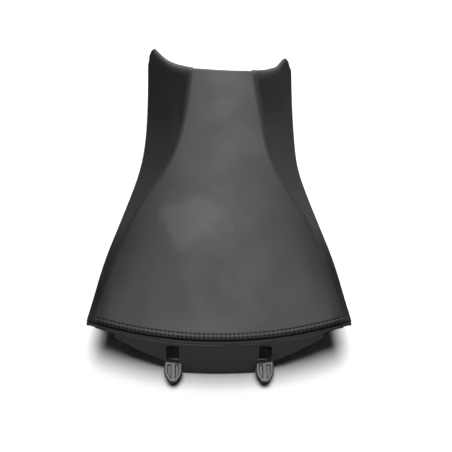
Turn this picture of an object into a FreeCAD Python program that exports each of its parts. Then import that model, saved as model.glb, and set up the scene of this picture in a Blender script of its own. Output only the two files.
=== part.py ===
import FreeCAD, Part
import math
import os
from collections import namedtuple

# Motorcycle rider seat in millimetres: a moulded pan with two rear tongues, a foam pad, a sewn cover
# with a rear band, a pressed front tongue with its screws, and six rubber feet under the pan.
# Stations run forward from the line through the rear corners, X is to the rider's right, Z is up.

Vector = FreeCAD.Vector

# Cross-sections from tail to ear tips: height of the top, half width of the crowned top, drop of
# that crown, radius of its edge, half width and height of the lower rim, height of the pan's top.
Section = namedtuple("Section", "station top flat crown edge rim_half rim pan_top")
tail = Section(-45.0, 76.0, 146.0, 7.0, 6.0, 156.0, 57.0, 68.0)
rear = Section(0.0, 77.5, 140.0, 7.0, 6.0, 150.5, 59.0, 69.5)
hip = Section(55.0, 82.0, 131.0, 11.0, 9.0, 144.5, 46.0, 63.0)
seat = Section(105.0, 88.0, 116.0, 13.0, 14.0, 137.5, 38.0, 58.0)
thigh = Section(150.0, 93.0, 92.0, 11.0, 16.0, 128.5, 32.0, 58.0)
waist = Section(205.0, 99.5, 61.0, 5.0, 14.0, 117.0, 26.0, 63.0)
neck = Section(270.0, 110.5, 41.0, 3.5, 15.0, 106.0, 20.0, 72.0)
nose = Section(330.0, 124.0, 30.0, 4.0, 20.0, 102.0, 22.0, 84.0)
ear = Section(390.0, 139.0, 27.0, 5.0, 24.0, 101.5, 40.0, 97.0)
tip = Section(455.0, 156.0, 26.0, 5.0, 26.0, 101.0, 87.0, 112.0)
SECTIONS = (tail, rear, hip, seat, thigh, waist, neck, nose, ear, tip)

flank_radius = 300.0
rim_radius = 5.0

# Plan of the seat: the rear edge is one arc, the front is hollowed round the tank between two ears
rear_bow = 30.5
nose_station = 346.0
tank_radius = 52.0
ear_reach = 434.0
ear_radius = 7.0

# Layers
cover_wall = 1.2
foam_side = 7.0
foam_front = 12.0
foam_rear = 3.0
pan_wall = 2.5
pan_edge = 3.5
pan_crown = 1.5
pan_shoulder = 8.0
pan_rim_radius = 2.6
pan_ear_reach = 394.0
pan_ear_radius = 5.0
flange_width = 14.0
hem_width = 18.0
hem_clearance = 0.3
seam_inset = 1.5
band_height = 7.0

# Rear lip, apron and tongues of the pan
lip_height = 5.7
lip_depth = 5.0
lip_proud = 1.5
bead_radius = 1.1
lip_root = 2.5
apron_setback = 2.5
apron_flare = 5.0
apron_wall = 3.0
apron_half = 118.0
apron_arch = 4.0
apron_rise = 20.0
apron_end = 46.0
tongue_spacing = 105.0
tongue_width = 20.6
tongue_reach = 49.4
tongue_top = 20.0
tongue_tilt = 18.0
tongue_thickness = 6.0
tongue_shoulder = 9.4
tongue_nose = 8.0
tongue_round = 5.0
tongue_bevel = 1.4
tongue_root = 3.0
post_proud = 0.5
post_fillet = 10.0
window_margin = 2.8
window_sill = 1.5
window_head = 54.5
window_round = 9.0
pocket_width = 4.8
pocket_spacing = 8.7
pocket_depth = 2.0
pocket_margin = 3.5
pocket_start = 3.5
pocket_draught = 1.0

# Underside of the pan
rib_wall = 2.2
rib_depth = 9.0
cross_rib_stations = (45.0, 100.0, 155.0, 210.0)
long_rib_offsets = (-84.0, -28.0, 28.0, 84.0)
arch_half = 58.0
arch_spring = 38.0
arch_crown = 68.0
arch_station = 320.0

# Rubber feet: side, station and height of the sole of each pair
foot_pairs = (("front", 46.0, 292.0, 0.0), ("middle", 66.0, 180.0, 10.0), ("rear", 98.0, 62.0, 22.0))
foot_radius = 11.0
foot_height = 12.0
foot_bevel = 1.5
foot_stud_radius = 4.0
foot_stud_length = 9.0
stud_clearance = 0.15
leg_tip_radius = 10.0
leg_taper = 0.06

# Pressed front tongue and its screws
bracket_wall = 3.0
bracket_width = 40.0
bracket_back = 268.0
bracket_bend = 306.0
bracket_reach = 374.0
bracket_seat = 58.0
bracket_step = 8.0
bracket_ramp = 12.0
bracket_corner = 12.0
screw_spacing = 22.0
screw_station = 284.0
screw_radius = 2.9
screw_hole_clearance = 0.3
thread_clearance = 0.1
screw_head_radius = 6.0
screw_head_height = 3.6
screw_length = 14.0
screw_boss_radius = 7.5

# Height and start of the upright prisms that bound and cut the pieces
deep = 400.0
below = -40.0


def bow_radius(bow):
    """Radius of an arc through the rear corners that bows to the rear."""
    return (rear.rim_half ** 2 + bow ** 2) / (2.0 * bow)


centre_station = (ear_reach - tongue_reach) / 2.0
rear_radius = bow_radius(rear_bow)
rear_centre = rear_radius - rear_bow
tank_centre = nose_station + tank_radius
screw_sides = (-screw_spacing / 2.0, screw_spacing / 2.0)


def arc(centre, radius, start, end, station):
    """Arc in the plane of a station about a centre (x, z), drawn as one cubic with tangent handles."""
    reach = radius * math.tan((end - start) / 4.0) * 4.0 / 3.0

    def point(angle, slide):
        x = centre[0] + radius * math.cos(angle) - slide * math.sin(angle)
        z = centre[1] + radius * math.sin(angle) + slide * math.cos(angle)
        return Vector(x, station, z)

    curve = Part.BezierCurve()
    curve.setPoles([point(start, 0.0), point(start, reach), point(end, -reach), point(end, 0.0)])
    return curve.toShape()


def section_wire(station, top, flat, crown, edge, rim_half, rim, rim_round, inset):
    """Closed section: crowned top, rounded edges, hollow flanks tangent to the rounded rim."""
    crown_radius = (flat ** 2 + crown ** 2) / (2.0 * crown)
    lean = math.asin(flat / crown_radius)
    top_centre = (0.0, top - crown_radius)
    edge_centre = (flat - edge * math.sin(lean), top - crown - edge * math.cos(lean))
    rim_centre = (rim_half - rim_round, rim + rim_round)
    run = (rim_centre[0] - edge_centre[0], rim_centre[1] - edge_centre[1])
    span = math.hypot(*run)
    to_edge = flank_radius + edge
    to_rim = flank_radius + rim_round
    along = (to_edge ** 2 - to_rim ** 2 + span ** 2) / (2.0 * span)
    away = math.sqrt(to_edge ** 2 - along ** 2)
    flank_centre = (edge_centre[0] + (along * run[0] - away * run[1]) / span,
                    edge_centre[1] + (along * run[1] + away * run[0]) / span)
    leave = math.atan2(flank_centre[1] - edge_centre[1], flank_centre[0] - edge_centre[0])
    meet = math.atan2(flank_centre[1] - rim_centre[1], flank_centre[0] - rim_centre[0])
    up = math.pi / 2.0
    half = [(edge_centre, edge - inset, up - lean, leave),
            (flank_centre, flank_radius + inset, leave + math.pi, meet + math.pi),
            (rim_centre, rim_round - inset, meet, -up)]
    base = Vector(rim_centre[0], station, rim + inset)
    edges = [arc(top_centre, crown_radius - inset, up + lean, up - lean, station)]
    edges += [arc(c, r, a, b, station) for c, r, a, b in half]
    edges += [Part.makeLine(base, Vector(-base.x, station, base.z))]
    edges += [arc((-c[0], c[1]), r, math.pi - b, math.pi - a, station) for c, r, a, b in reversed(half)]
    return Part.Wire(edges)


def skin_loft(inset):
    """Solid inside the seat's outer skin, drawn in by the inset all round."""
    wires = [section_wire(s.station, s.top, s.flat, s.crown, s.edge, s.rim_half, s.rim, rim_radius, inset)
             for s in SECTIONS]
    return Part.makeLoft(wires, True, False)


def pan_loft(inset):
    """Solid inside the pan's outer skin, drawn in by the inset all round."""
    wires = [section_wire(s.station, s.pan_top, s.flat - pan_shoulder, pan_crown, pan_edge,
                          s.rim_half - cover_wall - foam_side, s.rim + cover_wall + hem_clearance,
                          pan_rim_radius, inset)
             for s in SECTIONS]
    return Part.makeLoft(wires, True, False)


def tower(wire):
    """Tall upright prism on a plan outline."""
    face = Part.Face(wire)
    face.translate(Vector(0, 0, below))
    return face.extrude(Vector(0, 0, deep))


def plan_tower(tank, back, reach, round_end, outer):
    """Upright prism on the seat's plan: rear arc, ears with round ends, hollow round the tank."""
    ear_centre = (outer - round_end, reach - round_end)
    dx = ear_centre[0]
    dy = ear_centre[1] - tank_centre
    lean = math.asin((tank + round_end) / math.hypot(dx, dy)) + math.atan2(dy, dx)
    hollow = Vector(tank * math.sin(lean), tank_centre - tank * math.cos(lean), 0)
    shoulder = Vector(dx - round_end * math.sin(lean), ear_centre[1] + round_end * math.cos(lean), 0)
    crest = (lean + math.pi / 2.0) / 2.0
    summit = Vector(dx + round_end * math.cos(crest), ear_centre[1] + round_end * math.sin(crest), 0)
    end = Vector(outer, ear_centre[1], 0)
    side = tail.rim_half + rim_radius
    corner = Vector(side, rear_centre - math.sqrt(back ** 2 - side ** 2), 0)

    def flip(point):
        return Vector(-point.x, point.y, 0)

    edges = [Part.Arc(flip(hollow), Vector(0, tank_centre - tank, 0), hollow).toShape(),
             Part.makeLine(hollow, shoulder),
             Part.Arc(shoulder, summit, end).toShape(),
             Part.makeLine(end, Vector(side, end.y, 0)),
             Part.makeLine(Vector(side, end.y, 0), corner),
             Part.Arc(corner, Vector(0, rear_centre - back, 0), flip(corner)).toShape(),
             Part.makeLine(flip(corner), Vector(-side, end.y, 0)),
             Part.makeLine(Vector(-side, end.y, 0), flip(end)),
             Part.Arc(flip(end), flip(summit), flip(shoulder)).toShape(),
             Part.makeLine(flip(shoulder), flip(hollow))]
    return tower(Part.Wire(edges))


def rim_tower(inset, first, last):
    """Upright prism that follows the lower rim, drawn in by the inset, between two sections."""
    stops = SECTIONS[SECTIONS.index(first):SECTIONS.index(last) + 1]

    def rim_point(sign, section):
        return Vector(sign * (section.rim_half - inset), section.station, 0)

    def side(sign):
        curve = Part.BSplineCurve()
        curve.interpolate([rim_point(sign, section) for section in stops])
        return curve.toShape()

    ends = [Part.makeLine(rim_point(1, section), rim_point(-1, section)) for section in (first, last)]
    return tower(Part.Wire([ends[0], side(-1), ends[1], side(1)]))


def drum(radius):
    """Upright cylinder about the centre of the rear arc."""
    return Part.makeCylinder(radius, deep, Vector(0, rear_centre, below))


def wall_ring(proud):
    """Upright wall that follows the rear edge, flared out towards the floor, proud of the apron's face."""
    face = rear_radius - apron_setback
    outer, inner = [Part.makeCone(radius + apron_flare, radius, rear.top, Vector(0, rear_centre, 0))
                    for radius in (face + proud, face - apron_wall)]
    return outer.cut(inner)


def rear_edge(x, bow):
    """Station of an arc through the rear corners, bowed to the rear, at a distance from the middle."""
    radius = bow_radius(bow)
    return radius - bow - math.sqrt(radius ** 2 - x ** 2)


def lip_under(x):
    """Height of the lip's lower edge at a distance from the middle, parallel to the crown above it."""
    crown_radius = (rear.flat ** 2 + rear.crown ** 2) / (2.0 * rear.crown)
    drop = crown_radius - math.sqrt(crown_radius ** 2 - x ** 2)
    return level("top", rear_edge(x, rear_bow)) - band_height - lip_height - drop


def elevation(points, arcs):
    """Plate seen from behind, through the rear of the seat, from corner points (x, z)."""
    edges = []
    for i, (a, b) in enumerate(zip(points, points[1:] + points[:1])):
        start = Vector(a[0], 0, a[1])
        end = Vector(b[0], 0, b[1])
        middle = arcs.get(i)
        if middle is None:
            edges.append(Part.makeLine(start, end))
        else:
            edges.append(Part.Arc(start, Vector(middle[0], 0, middle[1]), end).toShape())
    face = Part.Face(Part.Wire(edges))
    face.translate(Vector(0, -tongue_reach, 0))
    return face.extrude(Vector(0, 2.0 * tongue_reach, 0))


def mirrored(shape):
    """The same shape on the other side of the seat."""
    return shape.mirror(Vector(0, 0, 0), Vector(1, 0, 0))


def fuse_all(shapes):
    return shapes[0].multiFuse(list(shapes[1:])).removeSplitter()


def seat_body(inset):
    """Whole seat, without apron and tongues, drawn in by the inset on every side."""
    plan = plan_tower(tank_radius + inset, rear_radius - inset, ear_reach - inset, ear_radius - inset,
                      tip.rim_half - inset)
    return skin_loft(inset).common(plan)


def pan_body(inset):
    """Dish of the pan, drawn in by the inset on every side."""
    front = cover_wall + foam_front + inset
    back = cover_wall + foam_rear + inset
    plan = plan_tower(tank_radius + front, rear_radius - back, pan_ear_reach - inset,
                      pan_ear_radius - inset, ear.rim_half - cover_wall - foam_side - inset)
    return pan_loft(inset).common(plan)


def rear_lip(skin):
    """Bare plastic edge of the pan below the band, proud of it in the middle."""
    bow = rear_bow + lip_proud
    radius = bow_radius(bow)
    face = Part.makeCylinder(radius, deep, Vector(0, radius - bow, below))
    edge = face.cut(drum(rear_radius - lip_depth))
    lip = edge.common(skin.translated(Vector(0, 0, -band_height)))
    return lip.cut(skin.translated(Vector(0, 0, -band_height - lip_height)))


def lip_bead():
    """Round bead along the lip's lower edge, from corner to corner."""
    left, middle, right = [Vector(x, rear_edge(x, rear_bow + lip_proud) + bead_radius / 2.0, lip_under(x))
                           for x in (-rear.flat, 0.0, rear.flat)]
    path = Part.Arc(left, middle, right).toShape()
    section = Part.makeCircle(bead_radius, left, path.tangentAt(path.FirstParameter))
    return Part.Wire([path]).makePipe(Part.Face(Part.Wire([section])))


def front_arch():
    """Archway under the nose for the tank's rear fixing."""
    points = [(-arch_half, below), (arch_half, below), (arch_half, arch_spring), (-arch_half, arch_spring)]
    gate = elevation(points, {2: (0.0, arch_crown)})
    gate.translate(Vector(0, arch_station + tongue_reach, 0))
    return gate


def rear_apron():
    """Wall under the lip: arched between the tongues, rising to the lip towards the corners."""
    inner = (tongue_spacing - tongue_width) / 2.0
    outer = (tongue_spacing + tongue_width) / 2.0
    foot = tongue_top - tongue_thickness
    right = [(inner, 0.0), (inner, foot), (outer, foot), (outer, apron_rise), (apron_half, apron_end),
             (apron_half, lip_under(apron_half) + lip_root)]
    left = [(-x, z) for x, z in reversed(right)]
    crests = {len(right) - 1: (0.0, lip_under(0.0) + lip_root), len(right + left) - 1: (0.0, apron_arch)}
    return elevation(right + left, crests).common(wall_ring(0.0))


def tongue_outline(length):
    """Plan of a tongue that points to -Y, from behind its root to its blunt nose."""
    half = tongue_width / 2.0
    nose_half = tongue_nose / 2.0
    shoulder = tongue_shoulder - length
    points = [(half, tongue_root), (half, shoulder), (nose_half, -length),
              (-nose_half, -length), (-half, shoulder), (-half, tongue_root)]
    corners = [Vector(x, y, 0) for x, y in points]
    return Part.Face(Part.makePolygon(corners + corners[:1]))


def pocket(side, length):
    """Sunk pocket with draughted walls, its end parallel to the slanted nose."""
    run = (tongue_width - tongue_nose) / 2.0
    slant = math.hypot(tongue_shoulder, run)

    def outline(draw, height):
        near = (pocket_spacing - pocket_width) / 2.0 + draw
        far = (pocket_spacing + pocket_width) / 2.0 - draw
        start = -pocket_start - draw

        def end(x):
            rise = (x - tongue_nose / 2.0) * tongue_shoulder + (pocket_margin + draw) * slant
            return rise / run - length

        points = [(near, start), (far, start), (far, end(far)), (near, end(near))]
        corners = [Vector(side * x, y, height) for x, y in points]
        return Part.makePolygon(corners + corners[:1])

    return Part.makeLoft([outline(0.0, 0.0), outline(pocket_draught, -pocket_depth)], True, True)


def right_tongue():
    """Blunt tongue, bevelled round its upper face, with two pockets in it, tilted down to the rear."""
    tilt = math.radians(tongue_tilt)
    middle = tongue_spacing / 2.0
    root = rear_edge(middle, rear_bow)
    length = (tongue_reach + root + tongue_bevel * math.sin(tilt)) / math.cos(tilt)
    blade = tongue_outline(length).extrude(Vector(0, 0, -tongue_thickness))
    corners = [e for e in blade.Edges if e.BoundBox.ZLength > tongue_thickness / 2.0 and e.BoundBox.YMax < 0]
    blade = blade.makeFillet(tongue_round, corners)
    brim = [e for e in blade.Edges if e.BoundBox.ZMin > -tongue_thickness / 2.0 and e.BoundBox.YMin < 0]
    blade = blade.makeChamfer(tongue_bevel, brim)
    blade = blade.cut((pocket(-1, length), pocket(1, length)))
    blade.rotate(Vector(0, 0, 0), Vector(1, 0, 0), tongue_tilt)
    return blade.translated(Vector(middle, root, tongue_top))


def right_post():
    """Plate that carries the tongue from the lip, flared into the lip on its outer side."""
    inner = (tongue_spacing - tongue_width) / 2.0
    outer = (tongue_spacing + tongue_width) / 2.0
    foot = tongue_top - tongue_thickness
    head = lip_under(0.0) + lip_root
    under = lip_under(outer)
    bend = post_fillet * (1.0 - math.sqrt(0.5))
    points = [(inner, foot), (inner, head), (outer + post_fillet, head), (outer + post_fillet, under),
              (outer, under - post_fillet), (outer, foot)]
    plate = elevation(points, {3: (outer + bend, under - bend)})
    return plate.common(wall_ring(post_proud))


def right_window():
    """Opening through post and apron above the tongue, with its outer upper corner rounded."""
    middle = tongue_spacing / 2.0
    half = tongue_width / 2.0 - window_margin
    inner = middle - half
    outer = middle + half
    sill = tongue_top + window_sill
    bend = window_round * (1.0 - math.sqrt(0.5))
    points = [(inner, sill), (outer, sill), (outer, window_head - window_round),
              (outer - window_round, window_head), (inner, window_head)]
    return elevation(points, {2: (outer - bend, window_head - bend)})


def level(field, station):
    """Height at a station, read straight between the two sections beside it."""
    for a, b in zip(SECTIONS, SECTIONS[1:]):
        if a.station <= station <= b.station:
            share = (station - a.station) / (b.station - a.station)
            return getattr(a, field) + share * (getattr(b, field) - getattr(a, field))


def under_opening(inside, drop, inset, first):
    """Way through the bottom of a hollow body, left inside its rim by the inset."""
    return inside.translated(Vector(0, 0, -2.0 * drop)).common(rim_tower(inset, first, nose))


def pan_ribs(cavity):
    """Ribs that follow the underside of the dish, across it and along it."""
    layer = cavity.cut(cavity.translated(Vector(0, 0, -rib_depth)))
    width = 2.0 * tail.rim_half
    plates = [Part.makeBox(width, rib_wall, deep, Vector(-width / 2.0, station - rib_wall / 2.0, below))
              for station in cross_rib_stations]
    plates += [Part.makeBox(rib_wall, nose_station, deep, Vector(offset - rib_wall / 2.0, 0, below))
               for offset in long_rib_offsets]
    return layer.common(fuse_all(plates))


def leg(side, station, sole, inside):
    """Tapered leg from the dish down to the top of a rubber foot."""
    bottom = sole + foot_height
    heights = (level("pan_top", station) + pan_wall - bottom, level("rim", station) + 2.0 * pan_wall - bottom)
    cone, stub = [Part.makeCone(leg_tip_radius, leg_tip_radius + leg_taper * height, height,
                                Vector(side, station, bottom)) for height in heights]
    return [cone.common(inside), stub]


def stud_hole(side, station, sole):
    return Part.makeCylinder(foot_stud_radius + stud_clearance, foot_stud_length + stud_clearance,
                             Vector(side, station, sole + foot_height))


def rubber_foot(side, station, sole):
    """Round rubber foot, bevelled at its sole, with a stud pushed up into its leg."""
    profile = [(0, 0), (foot_radius - foot_bevel, 0), (foot_radius, foot_bevel), (foot_radius, foot_height),
               (foot_stud_radius, foot_height), (foot_stud_radius, foot_height + foot_stud_length),
               (0, foot_height + foot_stud_length)]
    points = [Vector(r, 0, z) for r, z in profile]
    face = Part.Face(Part.makePolygon(points + points[:1]))
    body = face.revolve(Vector(0, 0, 0), Vector(0, 0, 1), 360)
    return body.translated(Vector(side, station, sole))


def feet():
    """Name, side, station and sole of each foot."""
    for pair, side, station, sole in foot_pairs:
        yield "foot_%s_left" % pair, -side, station, sole
        yield "foot_%s_right" % pair, side, station, sole


def front_tongue():
    """Pressed steel tongue: seat under two bosses, a step down, and a rounded reach past the nose."""
    top = [(bracket_back, bracket_seat), (bracket_bend, bracket_seat),
           (bracket_bend + bracket_ramp, bracket_seat - bracket_step),
           (bracket_reach, bracket_seat - bracket_step)]
    under = [(y, z - bracket_wall) for y, z in reversed(top)]
    points = [Vector(-bracket_width / 2.0, y, z) for y, z in top + under]
    strip = Part.Face(Part.makePolygon(points + points[:1])).extrude(Vector(bracket_width, 0, 0))
    corners = [e for e in strip.Edges if e.BoundBox.ZLength > bracket_wall / 2.0
               and e.BoundBox.YMin > bracket_reach - bracket_wall]
    strip = strip.makeFillet(bracket_corner, corners)
    for x in screw_sides:
        strip = strip.cut(Part.makeCylinder(screw_radius + screw_hole_clearance, deep,
                                            Vector(x, screw_station, below)))
    return strip


def screw(x):
    """Flanged screw up through the pressed tongue into its boss."""
    seat_height = bracket_seat - bracket_wall
    head = Part.makeCylinder(screw_head_radius, screw_head_height,
                             Vector(x, screw_station, seat_height - screw_head_height))
    shank = Part.makeCylinder(screw_radius, screw_length, Vector(x, screw_station, seat_height))
    return head.fuse(shank)


def seat_pan(body, lip):
    """One moulding: dish, flange, ribs, legs, bosses, lip, apron, posts and tongues."""
    cavity = pan_body(pan_wall)
    inside = pan_body(pan_wall / 2.0)
    opening = under_opening(cavity, pan_wall, cover_wall + foam_side + flange_width, rear)
    pieces = [body.cut((cavity, opening)), lip, lip_bead(), rear_apron(), pan_ribs(cavity)]
    for _, side, station, sole in feet():
        pieces += leg(side, station, sole, inside)
    for x in screw_sides:
        boss = Part.makeCylinder(screw_boss_radius, deep, Vector(x, screw_station, bracket_seat))
        pieces.append(boss.common(inside))
    for piece in (right_tongue(), right_post()):
        pieces += [piece, mirrored(piece)]
    cuts = [right_window(), mirrored(right_window()), front_arch()]
    cuts += [stud_hole(side, station, sole) for _, side, station, sole in feet()]
    cuts += [Part.makeCylinder(screw_radius + thread_clearance, screw_length,
                               Vector(x, screw_station, bracket_seat)) for x in screw_sides]
    return fuse_all(pieces).cut(tuple(cuts))


def build():
    """Every piece by its node name, in stations."""
    skin = skin_loft(0.0)
    whole = seat_body(0.0)
    stuffed = seat_body(cover_wall)
    dish = pan_body(0.0)
    lip = rear_lip(skin)
    bare = drum(rear_radius).cut(drum(rear_radius - lip_depth))
    bare = bare.common(skin.translated(Vector(0, 0, -band_height)))
    arch = front_arch()
    seam = drum(rear_radius - seam_inset)
    hem_opening = under_opening(stuffed, cover_wall, hem_width, tail)
    cover = whole.cut((stuffed, hem_opening, bare, arch))
    pieces = {"seat_pan": seat_pan(dish, lip),
              "foam_pad": stuffed.cut((dish, dish.translated(Vector(0, 0, -pan_wall)), bare, arch)),
              "main_cover": cover.common(seam),
              "rear_band": cover.cut(seam),
              "front_tongue": front_tongue()}
    for name, x in zip(("tongue_screw_left", "tongue_screw_right"), screw_sides):
        pieces[name] = screw(x)
    for name, side, station, sole in feet():
        pieces[name] = rubber_foot(side, station, sole)
    return pieces


os.makedirs("parts", exist_ok=True)
for name, shape in build().items():
    shape.translated(Vector(0, -centre_station, 0)).exportStep("parts/%s.step" % name)
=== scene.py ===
import math
from collections import namedtuple

import bmesh
import bpy
import numpy as np
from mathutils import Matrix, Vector


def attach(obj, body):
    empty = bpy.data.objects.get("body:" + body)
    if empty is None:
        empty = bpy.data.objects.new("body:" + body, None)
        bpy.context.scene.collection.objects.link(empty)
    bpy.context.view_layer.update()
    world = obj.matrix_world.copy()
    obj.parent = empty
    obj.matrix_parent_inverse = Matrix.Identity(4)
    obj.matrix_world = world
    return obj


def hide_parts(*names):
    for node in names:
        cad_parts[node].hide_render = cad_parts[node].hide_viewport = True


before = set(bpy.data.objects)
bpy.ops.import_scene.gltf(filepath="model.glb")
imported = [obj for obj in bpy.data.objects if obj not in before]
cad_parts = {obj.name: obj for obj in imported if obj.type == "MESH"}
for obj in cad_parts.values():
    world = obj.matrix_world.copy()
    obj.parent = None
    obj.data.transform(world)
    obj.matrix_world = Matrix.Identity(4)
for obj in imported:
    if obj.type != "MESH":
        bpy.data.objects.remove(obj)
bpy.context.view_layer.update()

# Looks of a motorcycle rider seat: sewn vinyl cover, rear band, stitches and staples round the moulded
# pan, its steel tongue and its rubber feet. Sizes are in millimetres; stations run forward from the
# line through the rear corners, as the maker's sections do, and become metres in the frame at the end.

MM = 0.001

# Sections of the covered seat from tail to ear tips: height of the top, half width of the crowned top,
# drop of that crown, radius of its edge, half width and height of the lower rim, radius of the flank's hollow
Section = namedtuple("Section", "station top flat crown edge rim_half rim hollow")
SECTIONS = (
    Section(-45.0, 76.0, 146.0, 7.0, 6.0, 156.0, 57.0, 300.0),
    Section(0.0, 77.5, 140.0, 7.0, 6.0, 150.5, 59.0, 300.0),
    Section(55.0, 82.0, 127.0, 10.0, 12.0, 144.5, 46.0, 220.0),
    Section(105.0, 88.0, 112.0, 12.0, 18.0, 137.5, 38.0, 140.0),
    Section(150.0, 93.0, 95.0, 11.0, 14.0, 128.5, 32.0, 110.0),
    Section(205.0, 99.5, 65.0, 5.0, 11.0, 117.0, 26.0, 120.0),
    Section(270.0, 110.5, 47.5, 3.0, 11.0, 106.0, 20.0, 200.0),
    Section(330.0, 124.0, 39.5, 2.6, 13.0, 102.0, 22.0, 300.0),
    Section(390.0, 139.0, 35.0, 3.0, 16.0, 101.5, 40.0, 300.0),
    Section(455.0, 156.0, 33.0, 3.0, 18.0, 101.0, 87.0, 300.0),
)
RIM_RADIUS = 5.0

# Plan of the seat: rear arc, reach of ears and tongues
CORNER_HALF = 150.5
REAR_BOW = 30.5
REAR_RADIUS = (CORNER_HALF ** 2 + REAR_BOW ** 2) / (2.0 * REAR_BOW)
REAR_CENTRE = REAR_RADIUS - REAR_BOW
EAR_REACH = 434.0
EAR_RADIUS = 7.0
EAR_HALF = 101.0
TONGUE_REACH = 49.4
CENTRE_STATION = (EAR_REACH - TONGUE_REACH) / 2.0

# Front edge of the sewn cover from the left ear to the right one: side offset and station. The soft
# ears of this seat are bent, the left one forward and up, the right one back and down
FRONT_LINE = ((-94.0, 438.5), (-88.0, 430.5), (-80.0, 419.7), (-72.0, 410.1), (-64.0, 399.9), (-54.0, 385.5),
              (-46.0, 370.4), (-40.0, 359.8), (-34.0, 357.4), (-26.0, 356.0), (0.0, 352.5), (26.0, 352.0),
              (38.0, 353.0), (44.0, 353.5), (50.0, 356.7), (56.0, 368.5), (64.0, 384.4), (72.0, 397.0),
              (80.0, 407.8), (86.0, 415.5), (91.0, 424.5), (96.0, 432.5))

# How the soft cover lies, the stations between which each move comes in or goes out, and the distances
# from the edges over which the foam's hills come in
EAR_BEND_UP = 4.5
EAR_BEND_START = 330.0
CROWN_SHIFT = 4.5
CROWN_SHIFT_RUN = (150.0, 275.0)
EAR_SPREAD = 2.5
EAR_SPREAD_RUN = (240.0, 340.0)
CORNER_ROLL = 6.5
CORNER_BAND = 26.0
CORNER_OUT = (10.0, 75.0)
SIDE_ROLL = 5.0
SIDE_BAND = 46.0
SIDE_IN = (0.0, 60.0)
SIDE_OUT = (95.0, 150.0)
HILLS_FROM_REAR = (6.0, 40.0)
HILLS_FROM_FRONT = (4.0, 30.0)

# Cover: wall, rounded edges, hem and the archway under the nose, and the lap over the band, whose rows
# each give a distance ahead of the rear edge and a share of the lap's depth
COVER_WALL = 1.2
FRONT_ROUND = 9.0
TIP_ROUND = 5.5
TIP_RUN = (70.0, 92.0)
REAR_ROUND = 3.0
LAP_DEPTH = 1.2
LAP_ROWS = ((2.2, 1.0), (0.6, 1.0), (0.1, 0.6))
HEM_WIDTH = 18.0
HEM_GAP = 0.8
ARCH_HALF = 58.0
ARCH_SPRING = 38.0
ARCH_CROWN = 68.0
ARCH_STATION = 320.0
ARCH_EASE = 14.0
ARCH_STEP = 2.0
NOSE_BEND = 3.0
NOSE_RETURN = 9.0

# Columns on each part of half the section, rows along the seat and down the nose, the sink that leaves
# a row as its edge rounds it, and the first guess of every station with the rounds that settle it
COLUMN_COUNTS = (46, 9, 24, 9, 7, 3)
TURN_ROWS = 9
SEAM_ROWS = 22
SEAM_MARGIN = 12.0
EVEN_ROWS = 120
FRONT_ROWS = 5
NOSE_ROWS = (22, 6, 5)
AS_ROUNDED = -1.0
FIRST_STATION = 150.0
ROUNDS = 16

# Rear band and its seam. The band's profile runs from its tucked top to its tucked foot, and each point
# gives an inset from the rear arc and a share of the way down
BAND_HEIGHT = 7.0
BAND_PROFILE = ((3.4, 0.0), (1.6, 0.0), (1.2, 0.12), (1.0, 0.35), (1.0, 0.75), (1.2, 1.0), (2.6, 1.06))
BAND_COLUMNS = 161
BAND_HALF = 143.0
BAND_TUCK = 0.6
BAND_GAP = 0.1
BAND_CROWN_HALF = 139.0
STITCH_INSETS = (1.7, 5.9)
STITCH_PITCH = 4.8
STITCH_LENGTH = 3.6
STITCH_HALF = 137.0
STITCH_DIP = 0.55
THREAD_RADIUS = 0.8
THREAD_POINTS = 9
GROOVE_DEPTH = 0.5
GROOVE_WIDTH = 0.75

# Staples in the hem: their wire is a little flat, and its legs begin at a share of half its length
STAPLE_STATIONS = np.arange(24.0, 316.0, 21.0)
STAPLE_HALF = 5.0
STAPLE_STRAIGHT = 0.8
STAPLE_LEG = 1.4
STAPLE_INSET = 5.0
STAPLE_PROUD = 0.25
WIRE_RADIUS = 0.55
WIRE_FLATNESS = 0.8
WIRE_POINTS = (11, 9)

# Points nearer than this, in metres, become one
MERGE_DISTANCE = 2e-6


def spline(places, values, y):
    """Natural cubic through one value at each place, read at y."""
    s = np.array(places)
    v = np.array(values)
    h = np.diff(s)
    n = len(s)
    i = np.arange(1, n - 1)
    a = np.eye(n)
    b = np.zeros(n)
    a[i, i - 1] = h[:-1]
    a[i, i] = 2.0 * (h[:-1] + h[1:])
    a[i, i + 1] = h[1:]
    b[i] = 6.0 * np.diff(np.diff(v) / h)
    m = np.linalg.solve(a, b)
    k = np.clip(np.searchsorted(s, y) - 1, 0, n - 2)
    past = y - s[k]
    left = s[k + 1] - y
    w = h[k]
    bend = (m[k] * left ** 3 + m[k + 1] * past ** 3) / (6.0 * w)
    return bend + (v[k] / w - m[k] * w / 6.0) * left + (v[k + 1] / w - m[k + 1] * w / 6.0) * past


def sizes(y):
    """The seven section sizes at the stations y: a natural cubic through each size's ten values."""
    stations = [s.station for s in SECTIONS]
    return [spline(stations, [getattr(s, field) for s in SECTIONS], y) for field in Section._fields[1:]]


def rim_sizes(y):
    """Half width and height of the lower rim at the stations y."""
    return sizes(y)[4:6]


def step(y, start, end):
    """Smooth rise from 0 at start to 1 at end: three times the square less twice the cube of the share."""
    t = np.clip((y - start) / (end - start), 0.0, 1.0)
    return t * t * (3.0 - 2.0 * t)


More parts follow.
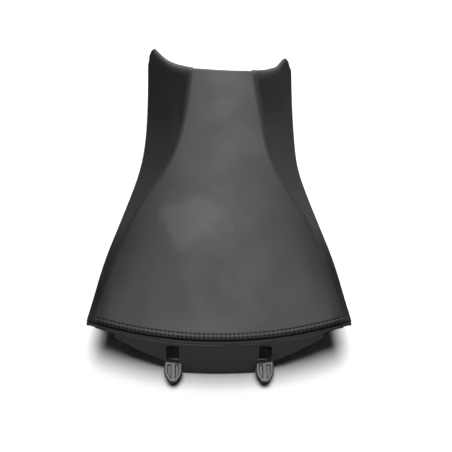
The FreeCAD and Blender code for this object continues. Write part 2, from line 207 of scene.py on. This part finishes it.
def half_section(y, part, t):
    """Point and outward normal on the right half of the section at y.

    Parts 0 to 3 are arcs, each tangent to the next, run through by t from 0 to 1: the crown, its edge,
    the hollow flank and the rounded rim. Part 4 is the hem turned in below, and part 5 its raised end.
    """
    top, flat, crown, edge, rim_half, rim, hollow = sizes(y)
    crown_radius = (flat ** 2 + crown ** 2) / (2.0 * crown)
    lean = np.arcsin(flat / crown_radius)
    edge_x = flat - edge * np.sin(lean)
    edge_z = top - crown - edge * np.cos(lean)
    rim_x = rim_half - RIM_RADIUS
    rim_z = rim + RIM_RADIUS
    run_x = rim_x - edge_x
    run_z = rim_z - edge_z
    span = np.hypot(run_x, run_z)
    to_edge = hollow + edge
    to_rim = hollow + RIM_RADIUS
    along = (to_edge ** 2 - to_rim ** 2 + span ** 2) / (2.0 * span)
    away = np.sqrt(to_edge ** 2 - along ** 2)
    flank_x = edge_x + (along * run_x - away * run_z) / span
    flank_z = edge_z + (along * run_z + away * run_x) / span
    leave = np.arctan2(flank_z - edge_z, flank_x - edge_x)
    meet = np.arctan2(flank_z - rim_z, flank_x - rim_x)
    up = np.full_like(y, math.pi / 2.0)
    arcs = ((np.zeros_like(y), top - crown_radius, crown_radius, up, up - lean),
            (edge_x, edge_z, edge, up - lean, leave),
            (flank_x, flank_z, hollow, leave + math.pi, meet + math.pi),
            (rim_x, rim_z, np.full_like(y, RIM_RADIUS), meet, -up))
    which = np.minimum(part, 3)
    centre_x, centre_z, radius, start, end = [np.choose(which, [arc[k] for arc in arcs]) for k in range(5)]
    angle = start + (end - start) * t
    outward = np.where(part == 2, -1.0, 1.0)
    x = centre_x + radius * np.cos(angle)
    z = centre_z + radius * np.sin(angle)
    nx = outward * np.cos(angle)
    nz = outward * np.sin(angle)
    hem = HEM_WIDTH + (rim_x - ARCH_HALF - HEM_WIDTH) * step(y, ARCH_STATION, ARCH_STATION + ARCH_EASE)
    to_spring = np.clip(ARCH_SPRING - rim, 0.0, None)
    rise = COVER_WALL + to_spring * step(y, ARCH_STATION - ARCH_STEP, ARCH_STATION + ARCH_STEP)
    under = part >= 4
    x = np.where(under, rim_x - hem * np.where(part == 5, 1.0, t), x)
    z = np.where(under, rim + np.where(part == 5, rise * t, 0.0), z)
    nx = np.where(under, np.where(part == 5, -1.0, 0.0), nx)
    nz = np.where(under, np.where(part == 5, 0.0, -1.0), nz)
    return x, z, nx, nz


def rear_edge(x):
    """Station of the rear edge: one arc through the two corners."""
    return REAR_CENTRE - np.sqrt(REAR_RADIUS ** 2 - np.minimum(np.abs(x), CORNER_HALF) ** 2)


def front_edge(x):
    """Station of the front edge: a natural cubic along the front line, a quarter circle beyond its ends."""
    offsets, stations = zip(*FRONT_LINE)
    past = np.clip(np.maximum(offsets[0] - x, x - offsets[-1]), 0.0, EAR_RADIUS)
    line = spline(offsets, stations, np.clip(x, offsets[0], offsets[-1]))
    return line - EAR_RADIUS + np.sqrt(EAR_RADIUS ** 2 - past ** 2)


def crown_shift(part, t, side, y):
    """Sideways lie of the crown towards the right at the front, fading towards the rear and down the flank:
    to nothing at the left rim, and to the spread of the ear at the right rim."""
    lie = CROWN_SHIFT * step(y, *CROWN_SHIFT_RUN)
    spread = np.where(side > 0.0, EAR_SPREAD * step(y, *EAR_SPREAD_RUN), 0.0)
    return lie + (spread - lie) * np.where(part <= 1, 0.0, np.where(part == 2, t, 1.0))


def ear_lift(x, y):
    """Bend of the soft ears, up on the left and down on the right: in step with the side offset, and with
    the square of a smooth rise towards the tips."""
    share = np.clip(np.abs(x) / EAR_HALF, 0.0, 1.0)
    return -EAR_BEND_UP * np.sign(x) * share * step(y, EAR_BEND_START, EAR_REACH) ** 2


def arch(x):
    """Height of the archway under the nose: an arc through its springs and its crown."""
    rise = ARCH_CROWN - ARCH_SPRING
    radius = (ARCH_HALF ** 2 + rise ** 2) / (2.0 * rise)
    return ARCH_CROWN - radius + np.sqrt(radius ** 2 - np.minimum(np.abs(x), ARCH_HALF) ** 2)


def crown_height(x, y):
    """Height of the crowned top above the point (x, y) of the plan: the crown's arc at that station."""
    top, flat, crown = sizes(y)[:3]
    radius = (flat ** 2 + crown ** 2) / (2.0 * crown)
    return top - radius + np.sqrt(radius ** 2 - x ** 2)


def rounding(distance, radius):
    """Drop of a rounded edge at a distance in from it: a quarter circle."""
    return radius - np.sqrt(np.clip(radius ** 2 - (radius - np.clip(distance, 0.0, radius)) ** 2, 0.0, None))


def softness(x, y):
    """Slight hills and dips of foam under a stretched cover: the sum of three products of two sine waves,
    80 to 260 mm long and 0.4 mm high at most."""
    return (0.15 * np.sin(x / 19.0 + 1.3) * np.sin(y / 31.0 + 0.4)
            + 0.15 * np.sin(x / 41.0 - 0.8) * np.sin(y / 23.0 + 2.1)
            + 0.06 * np.sin((x + y) / 13.0) * np.sin((x - y) / 17.0 + 0.9))


def side_roll(x, y, part, t):
    """Drop of the cover where it rolls down to its sides: a parabola across a narrow band along the rear
    corners, which fades out round the rim, and one across a wider band ahead of them, which fades out
    down the flank."""
    reach = rim_sizes(y)[0] - np.abs(x)
    corner = CORNER_ROLL * np.clip(1.0 - reach / CORNER_BAND, 0.0, 1.0) ** 2 * (1.0 - step(y, *CORNER_OUT))
    side = SIDE_ROLL * np.clip(1.0 - reach / SIDE_BAND, 0.0, 1.0) ** 2
    side = side * step(y, *SIDE_IN) * (1.0 - step(y, *SIDE_OUT))
    return (corner * np.where(part <= 2, 1.0, np.where(part == 3, 1.0 - t, 0.0))
            + side * np.where(part <= 1, 1.0, np.where(part == 2, 1.0 - t, 0.0)))


def seam_height(x, y):
    """Height of the rolled top along the rear seam: the crown's height less its roll."""
    return crown_height(x, y) - side_roll(x, y, 0, 0.0)


def columns():
    """Part, place and side of every column of the cover, from the left hem over the top to the right hem."""
    part = np.concatenate([np.full(n, k) for k, n in enumerate(COLUMN_COUNTS)])
    t = np.concatenate([np.arange(1, n + 1) / n for n in COLUMN_COUNTS])
    part = np.concatenate([part[::-1], [0], part])
    t = np.concatenate([t[::-1], [0.0], t])
    side = np.sign(np.arange(len(part)) - len(part) // 2)
    return part, t, np.where(side < 0, -1.0, 1.0)


def cover_rows():
    """Share of the way to the front, shift along the station and fixed sink of every row, rear to front.

    The lap under the rear edge comes first, then close rows for the rounded edge and the stitches, even
    rows over the seat, and close rows for the rounded front edge. Rows on a rounded edge lie at one less
    the sine of even steps of a quarter turn.
    """
    turn = 1.0 - np.sin(np.linspace(1.0, 0.0, TURN_ROWS) * math.pi / 2.0)
    lap = [(0.0, ahead, REAR_ROUND + share * LAP_DEPTH) for ahead, share in LAP_ROWS]
    rear = [(0.0, REAR_ROUND * q, AS_ROUNDED) for q in turn]
    close = [(0.0, d, AS_ROUNDED) for d in np.linspace(REAR_ROUND, SEAM_MARGIN, SEAM_ROWS)[1:]]
    even = [(w, SEAM_MARGIN - (2.0 * FRONT_ROUND + SEAM_MARGIN) * w, AS_ROUNDED)
            for w in np.linspace(0.0, 1.0, EVEN_ROWS)[1:]]
    front = [(1.0, -d, AS_ROUNDED) for d in np.linspace(2.0 * FRONT_ROUND, FRONT_ROUND, FRONT_ROWS)[1:]]
    front += [(1.0, -FRONT_ROUND * q, AS_ROUNDED) for q in turn[::-1][1:]]
    return np.array(lap + rear + close + even + front).T


def cover_skin():
    """Outer skin of the cover, as rows of points: each column is a place on the section, each row a share
    of the way from the rear edge to the front edge at that column's own side offset. The two are found
    together by going round a few times. Edges are rounded by sinking points along the section's normal."""
    share, shift, sink = [v[:, None] for v in cover_rows()]
    part, t, side = columns()
    shape = (share.shape[0], part.size)
    part, t, side = [np.broadcast_to(v, shape) for v in (part, t, side)]
    x = half_section(np.full(shape, FIRST_STATION), part, t)[0] * side
    for _ in range(ROUNDS):
        y = (1.0 - share) * rear_edge(x) + share * front_edge(x) + shift
        half_x, z, nx, nz = half_section(y, part, t)
        x = half_x * side + crown_shift(part, t, side, y)
    nx = nx * side
    from_rear = REAR_RADIUS - np.hypot(x, y - REAR_CENTRE)
    slope = front_edge(x + 0.5) - front_edge(x - 0.5)
    from_front = (front_edge(x) - y) / np.sqrt(1.0 + slope ** 2)
    soft_edge = FRONT_ROUND + (TIP_ROUND - FRONT_ROUND) * step(np.abs(x), *TIP_RUN)
    drop = np.maximum(rounding(from_rear, REAR_ROUND), rounding(from_front, soft_edge))
    groove = sum(GROOVE_DEPTH * np.exp(-((from_rear - inset) / GROOVE_WIDTH) ** 2) for inset in STITCH_INSETS)
    drop = np.where(sink == AS_ROUNDED, drop + np.where(part <= 1, groove, 0.0), sink)
    soft = softness(x, y) * step(from_rear, *HILLS_FROM_REAR) * step(from_front, *HILLS_FROM_FRONT)
    soft = np.where(part >= 3, 0.0, soft)
    z = z + ear_lift(x, y) - side_roll(x, y, part, t)
    return np.stack([x + (soft - drop) * nx, y, z + (soft - drop) * nz], -1), part


def front_wall(edge):
    """Wall of the cover under the nose: straight down from the rounded front edge to the archway or the
    rim, round a quarter circle, and straight back."""
    x, y, z = edge[None, :, 0], edge[None, :, 1], edge[None, :, 2]
    rim = rim_sizes(y)[1] + ear_lift(x, y) + HEM_GAP
    low = np.where(np.abs(x) < ARCH_HALF, arch(x), rim)
    low = np.minimum(np.maximum(low, rim), z)
    bend = np.minimum(NOSE_BEND, z - low)
    fall_rows, bend_rows, back_rows = NOSE_ROWS
    fall = np.linspace(0.0, 1.0, fall_rows)[:, None]
    q = np.linspace(0.0, math.pi / 2.0, bend_rows)[1:, None]
    back = np.linspace(0.0, 1.0, back_rows)[1:, None]
    runs = ((y, z + (low + bend - z) * fall),
            (y - bend * (1.0 - np.cos(q)), low + bend * (1.0 - np.sin(q))),
            (y - bend - NOSE_RETURN * back, low))
    return np.concatenate([np.stack(np.broadcast_arrays(x, run_y, run_z), -1) for run_y, run_z in runs])


def grid_quads(rows, cols, first):
    """Faces of a grid of points, wound so that they face up when rows run forward and columns run right."""
    corner = first + np.arange(rows * cols).reshape(rows, cols)
    return np.stack([corner[:-1, :-1], corner[:-1, 1:], corner[1:, 1:], corner[1:, :-1]], -1).reshape(-1, 4)


def to_frame(points):
    """Millimetres by station to metres in the frame."""
    return (points.reshape(-1, 3) - np.array([0.0, CENTRE_STATION, 0.0])) * MM


def add_piece(name, grids, material, wall=0.0):
    """One smooth piece from grids of points, with doubles merged and a wall grown inwards where given."""
    points = np.concatenate([to_frame(g) for g in grids])
    first = 0
    faces = []
    for g in grids:
        faces.append(grid_quads(g.shape[0], g.shape[1], first))
        first += g.shape[0] * g.shape[1]
    mesh = bpy.data.meshes.new(name)
    mesh.from_pydata(points.tolist(), [], np.concatenate(faces).tolist())
    work = bmesh.new()
    work.from_mesh(mesh)
    bmesh.ops.remove_doubles(work, verts=work.verts, dist=MERGE_DISTANCE)
    bmesh.ops.dissolve_degenerate(work, edges=work.edges, dist=MERGE_DISTANCE)
    work.to_mesh(mesh)
    work.free()
    mesh.polygons.foreach_set("use_smooth", np.ones(len(mesh.polygons), bool))
    piece = bpy.data.objects.new(name, mesh)
    bpy.context.scene.collection.objects.link(piece)
    mesh.materials.append(material)
    if wall:
        thick = piece.modifiers.new("wall", "SOLIDIFY")
        thick.thickness = wall * MM
        thick.offset = -1.0
    return piece


def rear_band_grid():
    """Band below the lap: its upright profile carried along the rear arc, with its top under the rolled edge
    of the cover and its foot a band's height below the crown."""
    angle = np.linspace(-1.0, 1.0, BAND_COLUMNS) * math.asin(BAND_HALF / REAR_RADIUS)
    inset, share = np.array(BAND_PROFILE).T[:, :, None]
    radius = REAR_RADIUS - inset
    x = radius * np.sin(angle)
    y = REAR_CENTRE - radius * np.cos(angle)
    edge_x = REAR_RADIUS * np.sin(angle)
    edge_y = rear_edge(edge_x)
    top = crown_height(np.clip(edge_x, -BAND_CROWN_HALF, BAND_CROWN_HALF), edge_y)
    high = top - side_roll(edge_x, edge_y, 0, 0.0) - REAR_ROUND + BAND_TUCK
    low = top - BAND_HEIGHT + BAND_GAP
    z = high + (low - high) * share
    return np.stack(np.broadcast_arrays(x, y, z), -1)[::-1]


def stitches(inset):
    """One row of stitches along the rear arc, one grid each: round threads, thinned to their ends and bowed
    as a parabola, so that both ends dip into the cover."""
    radius = REAR_RADIUS - inset
    reach = radius * math.asin(STITCH_HALF / radius)
    count = int(2.0 * reach / STITCH_PITCH)
    middle = (np.arange(count) - (count - 1) / 2.0) * STITCH_PITCH
    s = np.linspace(-1.0, 1.0, THREAD_POINTS)[None, :, None]
    ring = np.linspace(0.0, 2.0 * math.pi, THREAD_POINTS)
    thread_radius = THREAD_RADIUS * np.sqrt(np.clip(1.0 - np.abs(s) ** 6, 0.0, 1.0))
    angle = (middle[:, None, None] + s * STITCH_LENGTH / 2.0) / radius
    out = radius + thread_radius * np.cos(ring)
    up = thread_radius * np.sin(ring) - STITCH_DIP * s ** 2
    lie = seam_height(radius * np.sin(angle), REAR_CENTRE - radius * np.cos(angle))
    z = lie - rounding(inset, REAR_ROUND) - GROOVE_DEPTH + up
    grids = np.stack(np.broadcast_arrays(out * np.sin(angle), REAR_CENTRE - out * np.cos(angle), z), -1)
    return list(grids[:, :, ::-1])


def staples():
    """Two rows of wire staples that hold the hem to the pan's flange, one grid each: an oval wire along the
    rim's own direction, whose ends turn up into the hem."""
    grids = []
    s = np.linspace(-1.0, 1.0, WIRE_POINTS[0])
    ring = np.linspace(2.0 * math.pi, 0.0, WIRE_POINTS[1])[None, :, None]
    sunk = STAPLE_LEG * np.clip((np.abs(s) - STAPLE_STRAIGHT) / (1.0 - STAPLE_STRAIGHT), 0.0, 1.0) ** 2
    for station in STAPLE_STATIONS:
        rim_half, rim = rim_sizes(np.array(station))
        next_half, next_rim = rim_sizes(np.array(station + 1.0))
        ahead = next_rim - rim
        for side in (-1.0, 1.0):
            along = np.array([side * (next_half - rim_half), 1.0, ahead])
            along = along / np.linalg.norm(along)
            across = np.array([1.0, -along[0], 0.0])
            over = np.array([0.0, -ahead, 1.0])
            inner = rim_half - RIM_RADIUS - HEM_WIDTH + STAPLE_INSET
            middle = np.array([side * inner, station, rim - STAPLE_PROUD])
            path = middle + STAPLE_HALF * s[:, None] * along + sunk[:, None] * over
            wire = WIRE_RADIUS * (np.cos(ring) * across + WIRE_FLATNESS * np.sin(ring) * over)
            grids.append(path[:, None, :] + wire)
    return grids


def linear(code):
    """Linear colour of an sRGB hex code."""
    c = np.array([int(code[i:i + 2], 16) for i in (1, 3, 5)]) / 255.0
    c = np.where(c <= 0.04045, c / 12.92, ((c + 0.055) / 1.055) ** 2.4)
    return (*c.tolist(), 1.0)


def node(tree, kind, links=None, **settings):
    """Adds a node with its settings; links maps an input's name or place to a value or another output."""
    made = tree.nodes.new(kind)
    for key, value in settings.items():
        setattr(made, key, value)
    for key, value in (links or {}).items():
        socket = made.inputs[key]
        if isinstance(value, bpy.types.NodeSocket):
            tree.links.new(value, socket)
        else:
            socket.default_value = value
    return made


def new_material(name):
    """Empty node material: its tree and its surface shader."""
    material = bpy.data.materials.new(name)
    material.use_nodes = True
    return material, material.node_tree, material.node_tree.nodes["Principled BSDF"]


# Patterns, in millimetres: cell of the pressed grain, clouds of shade and shine, and the pale patch left
# of the middle of the top, by its centre in the frame and how far it reaches
VINYL_GRAIN = 1.6
VINYL_CLOUD = 38.0
FINISH_CLOUD = 12.0
PALE_PATCH_CENTRE = (-28.0, -69.412, 90.0)
PALE_PATCH_REACH = (66.6667, 58.8235, 66.6667)


def vinyl():
    """Calendered upholstery vinyl: near black with a broad soft shine, which the pressed grain breaks up.

    Such grain is usually finer than a pixel of the render, so it is drawn coarser, as coarse as it needs
    to show. A slow cloud varies shade and shine, and a ball with the cloud added to it, cut off at a
    threshold, gives a pale patch on the top.
    """
    material, tree, shader = new_material("black_upholstery_vinyl")
    place = node(tree, "ShaderNodeTexCoord").outputs["Object"]
    grain = node(tree, "ShaderNodeTexVoronoi", {"Vector": place, "Scale": 1.0 / (VINYL_GRAIN * MM)},
                 feature="SMOOTH_F1").outputs["Distance"]
    cloud = node(tree, "ShaderNodeTexNoise", {"Vector": place, "Scale": 1.0 / (VINYL_CLOUD * MM),
                                              "Detail": 3.0}).outputs["Fac"]
    spot = node(tree, "ShaderNodeMapping",
                {"Vector": place, "Location": [-c / r for c, r in zip(PALE_PATCH_CENTRE, PALE_PATCH_REACH)],
                 "Scale": [1.0 / (r * MM) for r in PALE_PATCH_REACH]}).outputs["Vector"]
    ball = node(tree, "ShaderNodeTexGradient", {"Vector": spot}, gradient_type="SPHERICAL").outputs["Fac"]
    patch = node(tree, "ShaderNodeMath", {0: cloud, 1: 1.5, 2: ball}, operation="MULTIPLY_ADD").outputs[0]
    # Pale patch on the top: inside the cut-off ball the base colour is lightened towards #3c3f40
    pale_patch_share = node(tree, "ShaderNodeMapRange", {"Value": patch, "From Min": 1.0, "From Max": 1.3,
                                             "To Max": 0.5}).outputs["Result"]
    shade = node(tree, "ShaderNodeMix", {"Factor": cloud, "A": linear("#141617"), "B": linear("#181b1c")},
                 data_type="RGBA").outputs["Result"]
    colour = node(tree, "ShaderNodeMix", {"Factor": pale_patch_share, "A": shade, "B": linear("#3c3f40")},
                  data_type="RGBA").outputs["Result"]
    rough = node(tree, "ShaderNodeMapRange", {"Value": cloud, "From Min": 0.3, "From Max": 0.7,
                                              "To Min": 0.5, "To Max": 0.58}).outputs["Result"]
    bump = node(tree, "ShaderNodeBump", {"Height": grain, "Strength": 0.18,
                                         "Distance": 0.25 * MM}).outputs["Normal"]
    tree.links.new(colour, shader.inputs["Base Color"])
    tree.links.new(rough, shader.inputs["Roughness"])
    tree.links.new(bump, shader.inputs["Normal"])
    shader.inputs["IOR"].default_value = 1.5
    return material


def plain_finish(name, code, roughness, metallic=0.0, specular=0.5, grit=0.0, depth=0.0):
    """A moulded, spun, coated or plated finish: one colour and shine with a slow cloud in both, and where
    given a grit of that size and depth in millimetres."""
    material, tree, shader = new_material(name)
    place = node(tree, "ShaderNodeTexCoord").outputs["Object"]
    cloud = node(tree, "ShaderNodeTexNoise", {"Vector": place, "Scale": 1.0 / (FINISH_CLOUD * MM),
                                              "Detail": 4.0}).outputs["Fac"]
    pale = tuple(1.15 * c for c in linear(code)[:3]) + (1.0,)
    tint = node(tree, "ShaderNodeMix", {"Factor": cloud, "A": linear(code), "B": pale},
                data_type="RGBA").outputs["Result"]
    rough = node(tree, "ShaderNodeMapRange", {"Value": cloud, "From Min": 0.3, "From Max": 0.7,
                                              "To Min": roughness - 0.02,
                                              "To Max": roughness + 0.02}).outputs["Result"]
    tree.links.new(tint, shader.inputs["Base Color"])
    tree.links.new(rough, shader.inputs["Roughness"])
    shader.inputs["Metallic"].default_value = metallic
    shader.inputs["Specular IOR Level"].default_value = specular
    if grit:
        fine = node(tree, "ShaderNodeTexNoise", {"Vector": place, "Scale": 1.0 / (grit * MM),
                                                 "Detail": 2.0}).outputs["Fac"]
        bump = node(tree, "ShaderNodeBump", {"Height": fine, "Strength": 0.4,
                                             "Distance": depth * MM}).outputs["Normal"]
        tree.links.new(bump, shader.inputs["Normal"])
    return material


def finish_nodes(names, material):
    """Gives a finish to solids that stay as they are."""
    for name in names:
        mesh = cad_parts[name].data
        mesh.materials.clear()
        mesh.materials.append(material)


cover_vinyl = vinyl()
# Spun thread has next to no shine, so the stitches stay darker than the vinyl round them
thread = plain_finish("black_polyester_thread", "#060607", 0.85, specular=0.12)
# Moulded in a smooth tool: dark grey, with a gloss that lights up the flat faces of the tongues
pan_plastic = plain_finish("black_moulded_polypropylene", "#424342", 0.24, grit=0.7, depth=0.015)
# Moulded rubber is dull and a little rough
foot_rubber = plain_finish("black_moulded_rubber", "#141414", 0.75, grit=0.9, depth=0.08)
# Powder coat over pressed steel: black, with half a gloss and a faint orange peel
coated_steel = plain_finish("black_coated_steel", "#101112", 0.4, grit=0.6, depth=0.03)
# Zinc plate on screws and staples: pale grey metal with a satin shine
zinc_steel = plain_finish("zinc_plated_steel", "#b9babb", 0.32, metallic=1.0)

skin, part = cover_skin()
upper = np.flatnonzero(part[0] <= 3)
cover = add_piece("seat_cover", [skin, front_wall(skin[-1, upper])], cover_vinyl, COVER_WALL)
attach(cover, "root")
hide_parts("main_cover", "foam_pad")

band = add_piece("rear_cover_band", [rear_band_grid()], cover_vinyl, COVER_WALL)
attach(band, "root")
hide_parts("rear_band")

seam = add_piece("rear_stitches", sum([stitches(inset) for inset in STITCH_INSETS], []), thread)
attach(seam, "root")

clips = add_piece("hem_staples", staples(), zinc_steel)
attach(clips, "root")

finish_nodes(["seat_pan"], pan_plastic)
finish_nodes(["front_tongue"], coated_steel)
finish_nodes(["tongue_screw_left", "tongue_screw_right"], zinc_steel)
finish_nodes([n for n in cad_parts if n.startswith("foot_")], foot_rubber)

# Floor of white paper: matt, and kept out of mirror images, so that the vinyl stays dark
floor_paper, _, paper_shader = new_material("white_paper")
paper_shader.inputs["Base Color"].default_value = linear("#f3f3f3")
paper_shader.inputs["Roughness"].default_value = 0.9
floor_mesh = bpy.data.meshes.new("floor")
floor_mesh.from_pydata([(-6, -6, 0), (6, -6, 0), (6, 6, 0), (-6, 6, 0)], [], [(0, 1, 2, 3)])
floor_mesh.materials.append(floor_paper)
floor = bpy.data.objects.new("floor", floor_mesh)
floor.visible_glossy = False
bpy.context.scene.collection.objects.link(floor)

# Studio, in metres: one large softbox overhead, panels and floor cards that only shine in glossy faces,
# and a soft ceiling that lights the paper. Plumb directions are a hair off, which keeps the lights square
SEAT_MIDDLE = Vector((0.0, 0.0, 0.08))
DOWN = Vector((0.0, 0.00001, -1.0))
UP = Vector((0.0, 0.00001, 1.0))
CARD_OFFSET = 0.24


def softbox(name, place, facing, width, depth, power):
    """Rectangular soft light at a place, turned in the direction that it faces."""
    data = bpy.data.lights.new(name, "AREA")
    data.shape = "RECTANGLE"
    data.size = width
    data.size_y = depth
    data.energy = power
    lamp = bpy.data.objects.new(name, data)
    lamp.location = place
    lamp.rotation_euler = facing.to_track_quat("-Z", "Y").to_euler()
    bpy.context.scene.collection.objects.link(lamp)
    return lamp


softbox("overhead", (0.05, 0.62, 1.35), DOWN, 0.75, 1.12, 17.2)
tongue_light = softbox("above_tongues", (0.0, -0.42, 1.3), Vector((0.0, 0.12, -1.3)), 0.5, 0.3, 2.6)
tongue_light.visible_diffuse = False
for name, place, width, height, power in (("behind", (0.0, -0.95, 1.0), 1.4, 1.2, 9.0),
                                          ("ahead", (0.0, 0.95, 0.35), 1.1, 0.7, 8.0),
                                          ("right", (1.25, 1.05, 0.3), 1.2, 0.5, 1.4)):
    softbox(name, place, SEAT_MIDDLE - Vector(place), width, height, power).visible_diffuse = False
for name, offset, power in (("card_left", -CARD_OFFSET, 0.05), ("card_right", CARD_OFFSET, 0.09)):
    card = softbox(name, (offset, 0.13, 0.002), UP, 0.12, 0.2, power)
    card.visible_diffuse = False
    card.visible_camera = False
ceiling = bpy.data.lights.new("ceiling", "SUN")
ceiling.energy = 3.0
ceiling.angle = math.radians(32.0)
ceiling_lamp = bpy.data.objects.new("ceiling", ceiling)
ceiling_lamp.rotation_euler = (math.radians(-4.0), 0.0, 0.0)
ceiling_lamp.visible_glossy = False
bpy.context.scene.collection.objects.link(ceiling_lamp)

# Pale backdrop that only the camera sees
world = bpy.data.worlds.new("studio")
world.use_nodes = True
backdrop = world.node_tree.nodes["Background"].inputs
backdrop["Color"].default_value = linear("#f9fdff")
backdrop["Strength"].default_value = 0.9
bpy.context.scene.world = world
world.cycles_visibility.diffuse = False
world.cycles_visibility.glossy = False
bpy.context.scene.view_settings.view_transform = "Standard"

# Camera behind the seat and above it, on its middle plane. The seat stands a few pixels left of the
# middle of the frame
CAMERA_ELEVATION = math.radians(52.0)
CAMERA_DISTANCE = 1.05
CAMERA_AIM = Vector((0.0, -0.05465, 0.062))
FRAME_WIDTH = 452.0
FRAME_SHIFT = 7.0
camera_data = bpy.data.cameras.new("camera")
camera_data.lens = 68.04
camera_data.sensor_width = 36.0
camera_data.shift_x = FRAME_SHIFT / FRAME_WIDTH
camera = bpy.data.objects.new("camera", camera_data)
back = Vector((0.0, -math.cos(CAMERA_ELEVATION), math.sin(CAMERA_ELEVATION)))
camera.location = CAMERA_AIM + CAMERA_DISTANCE * back
camera.rotation_euler = (-back).to_track_quat("-Z", "Y").to_euler()
bpy.context.scene.collection.objects.link(camera)
bpy.context.scene.camera = camera
